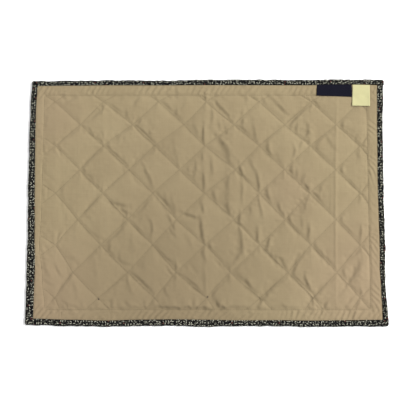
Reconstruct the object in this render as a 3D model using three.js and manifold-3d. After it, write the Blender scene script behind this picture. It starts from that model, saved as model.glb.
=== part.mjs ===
// Quilted cloth placemat, lying face down: a padded panel sewn in diamonds, four folded binding
// strips round its edges, and two plain labels caught under the top binding.
// Millimetres, +Z up, +X along the mat's length, origin at the middle of the underside.
import * as THREE from 'three';
import { mergeVertices } from 'three/addons/utils/BufferGeometryUtils.js';
import Module from 'manifold-3d';

const wasm = await Module();
wasm.setup();

// Overall size of the bound mat, before the unevenness of its edges.
const MAT_LENGTH = 480;
const MAT_WIDTH = 334;

// Heights through the edge: folded binding cloth under and over the panel's thin rim.
const BINDING_CLOTH = 1.0;
const CLEARANCE = 0.3;
const RIM_THICKNESS = 1.2;
const RIM_UNDER = BINDING_CLOTH + CLEARANCE;
const RIM_TOP = RIM_UNDER + RIM_THICKNESS;
const BINDING_TOP = RIM_TOP + CLEARANCE + BINDING_CLOTH;

// Heights of the padded panel: sewn down, swollen inside a diamond, and between frame and binding.
const SEWN_HEIGHT = 1.9;
const CROWN_HEIGHT = 4.5;
const BORDER_HEIGHT = 3.0;
// How fast the cloth rises from a sewn line, as a power: higher is steeper with a flatter crown.
const RISE_POWER = 2.4;
// The cloth is still held down this far from the sewn frame.
const FRAME_REACH = 16;
// No two diamonds are filled alike: mean share of the full crown, its spread, and how quickly it
// changes from diamond to diamond along each family of lines.
const FILLING = { mean: 0.92, spread: 0.12, rising: 2.1, falling: 3.7 };

// The edges of the mat: `at` runs along an edge, `out` is how far the edge stands past the even
// rectangle there, and `cover` is the width of the binding that shows.
const EDGES = {
  top: [
    { at: -240, out: -1.6, cover: 6.5 },
    { at: -180, out: -0.9, cover: 6.7 },
    { at: -135, out: 0.0, cover: 7.1 },
    { at: -70, out: -0.6, cover: 6.6 },
    { at: 0, out: 0.7, cover: 7.5 },
    { at: 90, out: 0.7, cover: 7.6 },
    { at: 135, out: 0.2, cover: 7.2 },
    { at: 180, out: 1.2, cover: 7.2 },
    { at: 240, out: 0.4, cover: 7.1 },
  ],
  right: [
    { at: -167, out: 1.6, cover: 7.8 },
    { at: -145, out: 0.6, cover: 7.0 },
    { at: -120, out: -1.2, cover: 6.2 },
    { at: -90, out: -1.6, cover: 6.9 },
    { at: -60, out: -0.5, cover: 7.6 },
    { at: -30, out: -1.0, cover: 7.5 },
    { at: 20, out: -1.4, cover: 7.7 },
    { at: 95, out: -0.9, cover: 7.5 },
    { at: 145, out: 0.6, cover: 8.2 },
    { at: 167, out: 1.6, cover: 8.5 },
  ],
  bottom: [
    { at: -240, out: -1.4, cover: 8.2 },
    { at: -180, out: 0.1, cover: 8.1 },
    { at: -135, out: 1.1, cover: 8.0 },
    { at: -90, out: 0.0, cover: 8.1 },
    { at: -45, out: 0.0, cover: 8.5 },
    { at: 0, out: 1.2, cover: 9.2 },
    { at: 45, out: 0.1, cover: 7.2 },
    { at: 90, out: 0.3, cover: 7.7 },
    { at: 135, out: 1.2, cover: 8.1 },
    { at: 240, out: 0.5, cover: 8.4 },
  ],
  left: [
    { at: -167, out: 1.6, cover: 10.3 },
    { at: -125, out: 1.4, cover: 10.5 },
    { at: -90, out: 1.2, cover: 11.0 },
    { at: -45, out: 0.9, cover: 9.4 },
    { at: 15, out: 1.5, cover: 9.0 },
    { at: 60, out: 1.0, cover: 8.0 },
    { at: 90, out: 1.5, cover: 8.2 },
    { at: 120, out: 0.8, cover: 7.7 },
    { at: 167, out: -0.6, cover: 8.0 },
  ],
};
const SIDES = {
  top: { along: new THREE.Vector3(1, 0, 0), outward: new THREE.Vector3(0, 1, 0), half: MAT_WIDTH / 2 },
  right: { along: new THREE.Vector3(0, 1, 0), outward: new THREE.Vector3(1, 0, 0), half: MAT_LENGTH / 2 },
  bottom: { along: new THREE.Vector3(1, 0, 0), outward: new THREE.Vector3(0, -1, 0), half: MAT_WIDTH / 2 },
  left: { along: new THREE.Vector3(0, 1, 0), outward: new THREE.Vector3(-1, 0, 0), half: MAT_LENGTH / 2 },
};

// Where the quilting lines cross. Columns lean a little: x at the top, middle and bottom rows.
const COLUMNS = [
  { top: -206, middle: -204, bottom: -203 },
  { top: -172, middle: -173, bottom: -180 },
  { top: -141, middle: -141, bottom: -144 },
  { top: -101, middle: -107, bottom: -105 },
  { top: -69, middle: -73, bottom: -71 },
  { top: -31, middle: -40, bottom: -41 },
  { top: -2, middle: -3, bottom: -1 },
  { top: 37, middle: 38, bottom: 30 },
  { top: 71, middle: 71, bottom: 71 },
  { top: 106, middle: 105, bottom: 109 },
  { top: 141, middle: 139, bottom: 141 },
  { top: 176, middle: 174, bottom: 174 },
  { top: 208, middle: 207, bottom: 205 },
];
const ROWS = [137, 105, 76, 43, 11, -25, -59, -96, -130];
// The sewn frame round the quilting. Its left side wanders: x at places up the mat.
const FRAME = { top: 146, bottom: -145.5, right: 218 };
const FRAME_LEFT = [
  { at: -146, x: -215.5 },
  { at: -100, x: -220.0 },
  { at: -60, x: -224.5 },
  { at: -15, x: -222.5 },
  { at: 146, x: -221.5 },
];
// Quilting runs this far past the outer crossings, in steps of the lattice, to reach the frame.
const MARGIN = 0.4;
const POINTS_PER_STEP = 5;

// Main folds in the padded cloth: soft troughs between two places, and one ironed line, which is a
// low ridge and so has a negative depth.
const FOLDS = [
  { fromX: 177, fromY: 130, toX: 172, toY: -138, depth: -0.2, width: 4 },
  { fromX: -5, fromY: 105, toX: -4, toY: -115, depth: 0.5, width: 6 },
  { fromX: 15, fromY: 86, toX: 30, toY: 50, depth: 0.9, width: 6 },
  { fromX: 46, fromY: 50, toX: 46, toY: -65, depth: 0.8, width: 6 },
  { fromX: 45, fromY: -65, toX: 28, toY: -88, depth: 0.8, width: 6 },
  { fromX: 57, fromY: 57, toX: 69, toY: 13, depth: 0.7, width: 6 },
  { fromX: 26, fromY: 40, toX: 27, toY: -20, depth: 0.6, width: 6 },
  { fromX: 135, fromY: 113, toX: 134, toY: 87, depth: 0.8, width: 6 },
  { fromX: 88, fromY: 141, toX: 112, toY: 118, depth: 0.6, width: 5 },
  { fromX: 207, fromY: -73, toX: 178, toY: -125, depth: 0.8, width: 6 },
  { fromX: 135, fromY: -33, toX: 135, toY: -53, depth: 0.6, width: 6 },
  { fromX: -86, fromY: 50, toX: -73, toY: 20, depth: 0.6, width: 6 },
  { fromX: -42, fromY: 70, toX: -42, toY: 45, depth: 0.5, width: 6 },
];

// The underside rests flat: a plain patch in its middle, and a rebate where the binding lies.
const REBATE_EASE = 1.0;
const PATCH_LENGTH = 400;
const PATCH_WIDTH = 250;

// Binding strips: spacing of their sections, sides of the round fold, and how each one runs from
// its butted end at one neighbour to its closed end, which laps the other neighbour's corner.
const SECTION_SPACING = 16;
const FOLD_SIDES = 8;
const INNER_EDGE_BEVEL = 0.4;
const STRIPS = [
  { side: 'top', butts: 'left', butt: -1, laps: 'right' },
  { side: 'right', butts: 'top', butt: 1, laps: 'bottom' },
  { side: 'bottom', butts: 'right', butt: 1, laps: 'left' },
  { side: 'left', butts: 'bottom', butt: -1, laps: 'top' },
];
const CORNER_EASE = 0.7;
const CORNER_EASE_LENGTH = 2.0;
const SLOT_OVERRUN = 6;

// Labels hang from the top binding's inner edge. `lift` raises the free lower edge.
const LABEL_THICKNESS = 1.0;
const LABEL_UNDER = RIM_TOP + CLEARANCE + 0.05;
const LABEL_RISE = 0.65;
const LABEL_RISE_LENGTH = 6;
const LABEL_COLUMNS = 10;
const LABEL_ROWS = 8;
const LABELS = [
  { name: 'label_dark', left: 150.2, right: 197.7, bottom: 143.4, lift: 0, color: 0x14141e },
  { name: 'label_cream', left: 198.2, right: 222.3, bottom: 130.8, lift: 0.8, color: 0xefe9b4 },
];

const CLOTH_FINISH = { roughness: 0.9, metalness: 0 };
const TAN = new THREE.MeshStandardMaterial({ color: 0xa89674, ...CLOTH_FINISH });
const DARK_PRINT = new THREE.MeshStandardMaterial({ color: 0x3a3833, ...CLOTH_FINISH });

function smooth(t) {
  return THREE.MathUtils.smoothstep(t, 0, 1);
}

// Even places from one value to another.
function spread(from, to, count) {
  return Array.from({ length: count + 1 }, (_, k) => THREE.MathUtils.lerp(from, to, k / count));
}

// A column of a table at any place along its edge or line, eased from row to row.
function eased(table, at, column) {
  const found = table.findIndex((row) => row.at > at);
  const next = found < 0 ? table.length - 1 : Math.max(found, 1);
  const [a, b] = [table[next - 1], table[next]];
  const share = smooth((at - a.at) / (b.at - a.at));
  return THREE.MathUtils.lerp(a[column], b[column], share);
}

// How far from the middle of the mat an edge lies, less an inset.
function reach(side, at, inset = 0) {
  return SIDES[side].half + eased(EDGES[side], at, 'out') - inset;
}

// How far from the middle of the mat the binding's inner edge lies.
function innerReach(side, at) {
  return reach(side, at, eased(EDGES[side], at, 'cover'));
}

// Where the left side of the sewn frame lies at a height y on the mat.
function frameLeft(y) {
  return eased(FRAME_LEFT, y, 'x');
}

// A leaning column's x at a height y on the mat: a parabola through its three given places.
function leaning({ top, middle, bottom }, y) {
  const t = y / ROWS[1];
  return middle + ((top - bottom) / 2) * t + ((top + bottom) / 2 - middle) * t * t;
}

// Position of lattice column u, which may lie between two columns or out at the frame.
function columnX(u, y) {
  const last = COLUMNS.length - 1;
  if (u < 0) {
    return THREE.MathUtils.lerp(leaning(COLUMNS[0], y), frameLeft(y), -u / MARGIN);
  }
  if (u >= last) {
    return THREE.MathUtils.lerp(leaning(COLUMNS[last], y), FRAME.right, (u - last) / MARGIN);
  }
  const column = Math.floor(u);
  return THREE.MathUtils.lerp(leaning(COLUMNS[column], y), leaning(COLUMNS[column + 1], y), u - column);
}

// Position of lattice row v, counted downwards from the top row.
function rowY(v) {
  const last = ROWS.length - 1;
  if (v < 0) {
    return THREE.MathUtils.lerp(ROWS[0], FRAME.top, -v / MARGIN);
  }
  if (v >= last) {
    return THREE.MathUtils.lerp(ROWS[last], FRAME.bottom, (v - last) / MARGIN);
  }
  const row = Math.floor(v);
  return THREE.MathUtils.lerp(ROWS[row], ROWS[row + 1], v - row);
}

// Steps from the nearest sewn line of a family, 0 on a line to 1 halfway between two lines.
function fromLine(steps) {
  return Math.abs(steps - 2 * Math.round(steps / 2));
}

// Height of the swollen cloth, 0 on a sewn line and 1 well away from it.
function swell(t) {
  return 1 - (1 - THREE.MathUtils.clamp(t, 0, 1)) ** RISE_POWER;
}

// Depth of all the folds at one place: each fades out from its line and past its ends.
function foldDepth(place) {
  let depth = 0;
  for (const fold of FOLDS) {
    const line = new THREE.Line3(
      new THREE.Vector3(fold.fromX, fold.fromY, 0),
      new THREE.Vector3(fold.toX, fold.toY, 0),
    );
    const nearest = line.closestPointToPoint(place, true, new THREE.Vector3());
    depth += fold.depth * Math.exp(-((nearest.distanceTo(place) / fold.width) ** 2));
  }
  return depth;
}

// Height of the quilted face at a lattice place.
function quiltHeight(u, v, x, y) {
  const diamond = FILLING.rising * Math.floor((u + v) / 2) + FILLING.falling * Math.floor((u - v) / 2);
  const filling = FILLING.mean + FILLING.spread * Math.sin(diamond);
  const toFrame = Math.min(FRAME.top - y, y - FRAME.bottom, FRAME.right - x, x - frameLeft(y));
  const held = swell(toFrame / FRAME_REACH);
  const puff = filling * swell(fromLine(u + v)) * swell(fromLine(u - v)) * held;
  const rise = CROWN_HEIGHT - SEWN_HEIGHT - foldDepth(new THREE.Vector3(x, y, 0));
  return SEWN_HEIGHT + rise * puff;
}

// Evenly spaced lattice lines from one margin to the other.
function latticeLines(count) {
  const steps = Math.round((count - 1 + 2 * MARGIN) * POINTS_PER_STEP);
  return Array.from({ length: steps + 1 }, (_, i) => i / POINTS_PER_STEP - MARGIN);
}

// The panel's grid lines: outer edge, rim at the binding, border, then the quilting, and back.
function gridLines(count) {
  const quilting = latticeLines(count).map((step) => ({ zone: 'quilting', step }));
  quilting[0].zone = 'frame';
  quilting[quilting.length - 1].zone = 'frame';
  const zones = ['edge', 'rim', 'border'];
  const before = zones.map((zone) => ({ zone, step: -MARGIN, start: true }));
  const after = zones.map((zone) => ({ zone, step: count - 1 + MARGIN, start: false })).reverse();
  return [...before, ...quilting, ...after];
}

// Where a grid line lies, given the frame line beside it and the side of the mat that it follows.
function outerLine(zone, side, at, frameReach) {
  const rim = innerReach(side, at) - REBATE_EASE;
  if (zone === 'edge') {
    return reach(side, at, BINDING_CLOTH + CLEARANCE);
  }
  return zone === 'rim' ? rim : (rim + frameReach) / 2;
}

function gridX(line, y) {
  const x = columnX(line.step, y);
  if (line.zone === 'quilting' || line.zone === 'frame') {
    return x;
  }
  return line.start ? -outerLine(line.zone, 'left', y, -x) : outerLine(line.zone, 'right', y, x);
}

function gridY(line, x) {
  const y = rowY(line.step);
  if (line.zone === 'quilting' || line.zone === 'frame') {
    return y;
  }
  return line.start ? outerLine(line.zone, 'top', x, y) : -outerLine(line.zone, 'bottom', x, -y);
}

function panelHeight(column, row, x, y) {
  const zones = [column.zone, row.zone];
  if (zones.includes('edge') || zones.includes('rim')) {
    return RIM_TOP;
  }
  if (zones.includes('border')) {
    return BORDER_HEIGHT;
  }
  return zones.includes('frame') ? SEWN_HEIGHT : quiltHeight(column.step, row.step, x, y);
}

// The padded panel: a grid whose diagonals follow the sewn lines, closed by a flat underside.
function panelGeometry() {
  const columns = gridLines(COLUMNS.length);
  const rows = gridLines(ROWS.length);
  const positions = [];
  const triangles = [];
  const addPoint = (x, y, z) => positions.push(x, y, z) / 3 - 1;

  const top = rows.map((row) => columns.map((column) => {
    const x = gridX(column, gridY(row, gridX(column, 0)));
    const y = gridY(row, x);
    return addPoint(x, y, panelHeight(column, row, x, y));
  }));
  const addCell = (grid, i, j, rising) => {
    const [a, b, c, d] = [grid[j][i], grid[j + 1][i], grid[j + 1][i + 1], grid[j][i + 1]];
    triangles.push(...(rising ? [a, b, d, b, c, d] : [a, b, c, a, c, d]));
  };
  const lastColumn = columns.length - 1;
  const lastRow = rows.length - 1;
  for (let j = 0; j < lastRow; j += 1) {
    for (let i = 0; i < lastColumn; i += 1) {
      const u = (columns[i].step + columns[i + 1].step) / 2;
      const v = (rows[j].step + rows[j + 1].step) / 2;
      addCell(top, i, j, fromLine(u + v) < fromLine(u - v));
    }
  }

  // Loops of grid places round the panel, counter-clockwise from above: the edge and the rim.
  const loop = (inset) => {
    const inner = top.slice(inset, top.length - inset).map((row) => row.slice(inset, row.length - inset));
    const down = inner.map((row) => row[0]);
    const across = inner[inner.length - 1];
    const up = inner.map((row) => row[row.length - 1]).reverse();
    const back = [...inner[0]].reverse();
    return [down, across, up, back].flatMap((run) => run.slice(0, -1));
  };
  const at = (index) => new THREE.Vector3().fromArray(positions, 3 * index);
  const under = new Map();
  for (const index of [...loop(0), ...loop(1)]) {
    under.set(index, addPoint(at(index).x, at(index).y, RIM_UNDER));
  }
  const addBand = (upper, lower) => {
    upper.forEach((a, k) => {
      const next = (k + 1) % upper.length;
      triangles.push(a, lower[k], upper[next], upper[next], lower[k], lower[next]);
    });
  };
  addBand(loop(0), loop(0).map((index) => under.get(index)));

  // Underside of the rim, the step down to the foot, and the foot round its plain middle patch.
  for (let j = 0; j < lastRow; j += 1) {
    for (let i = 0; i < lastColumn; i += 1) {
      if (j === 0 || i === 0 || j === lastRow - 1 || i === lastColumn - 1) {
        const cell = [top[j][i], top[j][i + 1], top[j + 1][i + 1], top[j + 1][i]];
        const [a, b, c, d] = cell.map((index) => under.get(index));
        triangles.push(a, b, c, a, c, d);
      }
    }
  }
  const rim = loop(1).map((index) => under.get(index));
  const shrinkX = 1 - REBATE_EASE / (MAT_LENGTH / 2);
  const shrinkY = 1 - REBATE_EASE / (MAT_WIDTH / 2);
  const foot = rim.map((index) => addPoint(at(index).x * shrinkX, at(index).y * shrinkY, 0));
  addBand(rim, foot);
  const patchCorners = [[-1, -1], [1, -1], [1, 1], [-1, 1]];
  const patch = patchCorners.map(([x, y]) => addPoint((x * PATCH_LENGTH) / 2, (y * PATCH_WIDTH) / 2, 0));
  const flat = [...foot, ...patch];
  const flatPoint = (index) => new THREE.Vector2(at(index).x, at(index).y);
  const faces = THREE.ShapeUtils.triangulateShape(foot.map(flatPoint), [patch.map(flatPoint)]);
  for (const [a, b, c] of faces) {
    triangles.push(flat[a], flat[c], flat[b]);
  }
  triangles.push(patch[0], patch[2], patch[1], patch[0], patch[3], patch[2]);
  return indexed(positions, triangles);
}

function indexed(positions, triangles) {
  const geometry = new THREE.BufferGeometry();
  geometry.setAttribute('position', new THREE.Float32BufferAttribute(positions, 3));
  geometry.setIndex(triangles);
  geometry.computeVertexNormals();
  return geometry;
}

// A closed solid through convex sections of equal point counts, wound about the direction of travel.
function loft(sections) {
  const count = sections[0].length;
  const triangles = [];
  for (let s = 0; s < sections.length - 1; s += 1) {
    for (let k = 0; k < count; k += 1) {
      const [a, b] = [s * count + k, s * count + ((k + 1) % count)];
      triangles.push(a, b, a + count, b, b + count, a + count);
    }
  }
  const end = (sections.length - 1) * count;
  for (let k = 1; k < count - 1; k += 1) {
    triangles.push(0, k + 1, k, end, end + k, end + k + 1);
  }
  return indexed(sections.flat().flatMap((point) => point.toArray()), triangles);
}

function solid(geometry) {
  const bare = geometry.clone().deleteAttribute('normal');
  const merged = mergeVertices(bare);
  const mesh = new wasm.Mesh({
    numProp: 3,
    vertProperties: merged.attributes.position.array,
    triVerts: new Uint32Array(merged.index.array),
  });
  return new wasm.Manifold(mesh);
}

function fromSolid(body) {
  const { vertProperties, triVerts } = body.getMesh();
  return indexed(Array.from(vertProperties), Array.from(triVerts));
}

// Section of a folded strip, as insets from the mat's edge and heights: round outside, flat inside.
function stripOutline(cover) {
  const radius = BINDING_TOP / 2;
  const outline = [];
  for (let k = 0; k <= FOLD_SIDES; k += 1) {
    const angle = (Math.PI * k) / FOLD_SIDES;
    outline.push({ inset: radius - radius * Math.sin(angle), height: radius - radius * Math.cos(angle) });
  }
  outline.push({ inset: cover - INNER_EDGE_BEVEL, height: BINDING_TOP });
  outline.push({ inset: cover, height: BINDING_TOP - INNER_EDGE_BEVEL });
  outline.push({ inset: cover, height: 0 });
  return outline;
}

// Section of the space inside the fold, which holds the panel's rim.
function slotOutline(cover) {
  const deep = BINDING_CLOTH;
  const open = cover + SLOT_OVERRUN;
  return [
    { inset: deep, height: BINDING_CLOTH },
    { inset: deep, height: BINDING_TOP - BINDING_CLOTH },
    { inset: open, height: BINDING_TOP - BINDING_CLOTH },
    { inset: open, height: BINDING_CLOTH },
  ];
}

// A run of sections along one side of the mat, from one place to another.
function runAlong(side, from, to, outline, drawIn = () => 0) {
  const { along, outward } = SIDES[side];
  const travel = Math.sign(to - from);
  const cornerStart = to - travel * CORNER_EASE_LENGTH;
  const count = Math.ceil(Math.abs(cornerStart - from) / SECTION_SPACING);
  const places = [...spread(from, cornerStart, count), to];
  const turned = travel * along.clone().cross(outward).z < 0;
  const sections = places.map((at) => {
    const cover = eased(EDGES[side], at, 'cover');
    const points = outline(cover).map(({ inset, height }) => {
      const eased = inset + drawIn(at) * (1 - inset / cover);
      const point = along.clone().multiplyScalar(at);
      point.addScaledVector(outward, reach(side, at, eased));
      return point.setZ(height);
    });
    return turned ? points.reverse() : points;
  });
  return solid(loft(sections));
}

// One binding strip: open where it butts one neighbour, closed where it laps the other's corner.
function bindingGeometry({ side, butts, butt, laps }) {
  const { outward } = SIDES[side];
  const cornerAt = (end, neighbour) => (outward.x + outward.y) * reach(side, end * SIDES[neighbour].half);
  const from = butt * (innerReach(butts, cornerAt(butt, butts)) - CLEARANCE);
  const to = -butt * reach(laps, cornerAt(-butt, laps));
  const travel = Math.sign(to - from);
  const ease = (at) => {
    const share = 1 - Math.abs(to - at) / CORNER_EASE_LENGTH;
    return CORNER_EASE * Math.max(share, 0);
  };
  const strip = runAlong(side, from, to, stripOutline, ease);
  const slot = runAlong(side, from - travel * SLOT_OVERRUN, to - travel * BINDING_CLOTH, slotOutline);
  return fromSolid(strip.subtract(slot));
}

// A thin closed sheet over a grid of places, with the height of its underside at each y.
function sheetGeometry(xs, ys, thickness, underHeight) {
  const positions = [];
  const triangles = [];
  const addPoint = (x, y, z) => positions.push(x, y, z) / 3 - 1;
  const layers = [0, thickness].map((lift) => (
    ys.map((y) => xs.map((x) => addPoint(x, y, underHeight(y) + lift)))
  ));
  const [under, over] = layers;
  const quad = (a, b, c, d) => triangles.push(a, b, c, a, c, d);
  for (let j = 0; j < ys.length - 1; j += 1) {
    for (let i = 0; i < xs.length - 1; i += 1) {
      quad(over[j][i], over[j + 1][i], over[j + 1][i + 1], over[j][i + 1]);
      quad(under[j][i], under[j][i + 1], under[j + 1][i + 1], under[j + 1][i]);
    }
  }
  const lastX = xs.length - 1;
  const lastY = ys.length - 1;
  for (let j = 0; j < lastY; j += 1) {
    quad(over[j][0], under[j][0], under[j + 1][0], over[j + 1][0]);
    quad(over[j + 1][lastX], under[j + 1][lastX], under[j][lastX], over[j][lastX]);
  }
  for (let i = 0; i < lastX; i += 1) {
    quad(over[0][i + 1], under[0][i + 1], under[0][i], over[0][i]);
    quad(over[lastY][i], under[lastY][i], under[lastY][i + 1], over[lastY][i + 1]);
  }
  return indexed(positions, triangles);
}

// A label leaves the binding's edge low, rides up over the border's swell and ends free.
function labelGeometry({ left, right, bottom, lift }) {
  const top = Math.min(innerReach('top', left), innerReach('top', right)) - CLEARANCE;
  const xs = spread(left, right, LABEL_COLUMNS);
  const ys = spread(top, bottom, LABEL_ROWS);
  const underHeight = (y) => {
    const rise = LABEL_RISE * smooth((top - y) / LABEL_RISE_LENGTH);
    return LABEL_UNDER + rise + lift * ((top - y) / (top - bottom)) ** 2;
  };
  return sheetGeometry(xs, ys, LABEL_THICKNESS, underHeight);
}

function addMesh(group, name, geometry, material) {
  const mesh = new THREE.Mesh(geometry, material);
  mesh.name = name;
  group.add(mesh);
}

const placemat = new THREE.Group();
placemat.name = 'quilted_placemat';
addMesh(placemat, 'quilted_panel', panelGeometry(), TAN);
for (const strip of STRIPS) {
  addMesh(placemat, `binding_${strip.side}`, bindingGeometry(strip), DARK_PRINT.clone());
}
for (const label of LABELS) {
  const material = new THREE.MeshStandardMaterial({ color: label.color, ...CLOTH_FINISH });
  addMesh(placemat, label.name, labelGeometry(label), material);
}

export default placemat;
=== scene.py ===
import math

import bpy
import numpy as np
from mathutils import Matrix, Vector


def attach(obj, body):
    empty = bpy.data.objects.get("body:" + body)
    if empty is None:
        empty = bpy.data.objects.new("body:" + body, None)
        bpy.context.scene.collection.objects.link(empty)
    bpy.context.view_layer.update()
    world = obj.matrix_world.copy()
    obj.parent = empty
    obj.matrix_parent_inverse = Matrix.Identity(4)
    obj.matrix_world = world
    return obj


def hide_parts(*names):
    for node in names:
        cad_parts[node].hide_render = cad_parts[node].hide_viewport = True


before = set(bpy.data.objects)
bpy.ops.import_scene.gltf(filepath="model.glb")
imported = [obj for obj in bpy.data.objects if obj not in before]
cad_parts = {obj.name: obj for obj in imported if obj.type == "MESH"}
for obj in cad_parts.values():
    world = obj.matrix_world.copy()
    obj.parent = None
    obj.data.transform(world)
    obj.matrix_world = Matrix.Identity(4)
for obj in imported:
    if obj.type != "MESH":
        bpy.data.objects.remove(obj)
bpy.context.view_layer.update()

# Looks of a quilted placemat lying face down: padded backing, printed binding, bare labels.
# Tables are in millimetres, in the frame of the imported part, and meshes are in metres.
MM = 0.001
BODY = "root"

# The mat's even rectangle, and heights through its edge.
MAT_LENGTH, MAT_WIDTH = 480.0, 334.0
BINDING_CLOTH = 1.0
RIM_UNDER, RIM_TOP, BINDING_TOP = 1.3, 2.5, 3.8
EDGE_INSET = BINDING_CLOTH + 0.3  # of the panel's edge from the outside of its binding

# Heights of the padded panel: sewn down, swollen in a diamond, along the sewn frame and in the border.
SEWN_HEIGHT, CROWN_HEIGHT, FRAME_HEIGHT, BORDER_HEIGHT = 1.9, 4.3, 2.2, 3.0
# Rise from a sewn line: share that is steep, reach of the steep and of the gentle part, and how
# sharply the rises from two lines meet.
SWELL_STEEP, STEEP_REACH, SWELL_REACH, ROUNDING = 0.03, 1.6, 13.0, 6.0
# Reach of the rise from the frame, inside and outside, and from the binding's inner edge.
FRAME_REACH, BORDER_REACH, RIM_EASE = 3.2, 2.4, 2.0
# Underside: depth and reach of its grooves, and how far its raised rim goes past the binding.
GROOVE_DEPTH, GROOVE_REACH, UNDERSIDE_RIM = 0.7, 2.5, 2.0

# The edges: columns are place along the edge, how far the edge stands out, and binding that shows.
EDGES = {
    "top": ((-240, -1.6, 6.5), (-180, -0.9, 6.7), (-135, 0.0, 7.1), (-70, -0.6, 6.6), (0, 0.7, 7.5),
            (90, 0.7, 7.6), (135, 0.2, 7.2), (180, 1.2, 7.2), (240, 0.4, 7.1)),
    "right": ((-167, 1.6, 7.8), (-145, 0.6, 7.0), (-120, -1.2, 6.2), (-90, -1.6, 6.9), (-60, -0.5, 7.6),
              (-30, -1.0, 7.5), (20, -1.4, 7.7), (95, -0.9, 7.5), (145, 0.6, 8.2), (167, 1.6, 8.5)),
    "bottom": ((-240, -1.4, 8.2), (-180, 0.1, 8.1), (-135, 1.1, 8.0), (-90, 0.0, 8.1), (-45, 0.0, 8.5),
               (0, 1.2, 9.2), (45, 0.1, 7.2), (90, 0.3, 7.7), (135, 1.2, 8.1), (240, 0.5, 8.4)),
    "left": ((-167, 1.6, 10.3), (-125, 1.4, 10.5), (-90, 1.2, 11.0), (-45, 0.9, 9.4), (15, 1.5, 9.0),
             (60, 1.0, 8.0), (90, 1.5, 8.2), (120, 0.8, 7.7), (167, -0.6, 8.0)),
}
# For each side: unit vectors along and outward, and half the mat across it.
SIDES = {
    "top": ((1, 0), (0, 1), MAT_WIDTH / 2),
    "right": ((0, 1), (1, 0), MAT_LENGTH / 2),
    "bottom": ((1, 0), (0, -1), MAT_WIDTH / 2),
    "left": ((0, 1), (-1, 0), MAT_LENGTH / 2),
}

# Quilting crossings: each column's x at the top, middle and bottom rows, and each row's y.
COLUMNS = ((-206, -204, -203), (-172, -173, -180), (-141, -141, -144), (-101, -107, -105),
           (-69, -73, -71), (-31, -40, -41), (-2, -3, -1), (37, 38, 30), (71, 71, 71),
           (106, 105, 109), (141, 139, 141), (176, 174, 174), (208, 207, 205))
ROWS = (137, 105, 76, 43, 11, -25, -59, -96, -130)
FRAME_TOP, FRAME_BOTTOM, FRAME_RIGHT = 146.0, -145.5, 218.0
# The frame's left side wanders: y and x.
FRAME_LEFT = ((-146, -215.5), (-100, -220.0), (-60, -224.5), (-15, -222.5), (146, -221.5))
MARGIN = 0.4         # lattice steps from the outer crossings to the sewn frame
HALF_SPACING = 24.2  # half the distance between neighbouring quilting lines
# Filling of the diamonds by x, how much it varies, and angles that tell one diamond from the next.
FILLINGS = ((-240, 0.70), (-120, 0.80), (0, 1.0), (240, 1.0))
FILLING_VARIES, DIAMOND_TURNS = 0.08, (2.1, 3.7)

# Points of the panel's grid: per lattice step, across the border, under the binding, and below.
STEPS, BORDER_COLUMNS, BORDER_ROWS, RIM_STEPS, UNDERSIDE_EVERY = 25, 11, 10, 3, 3

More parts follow.
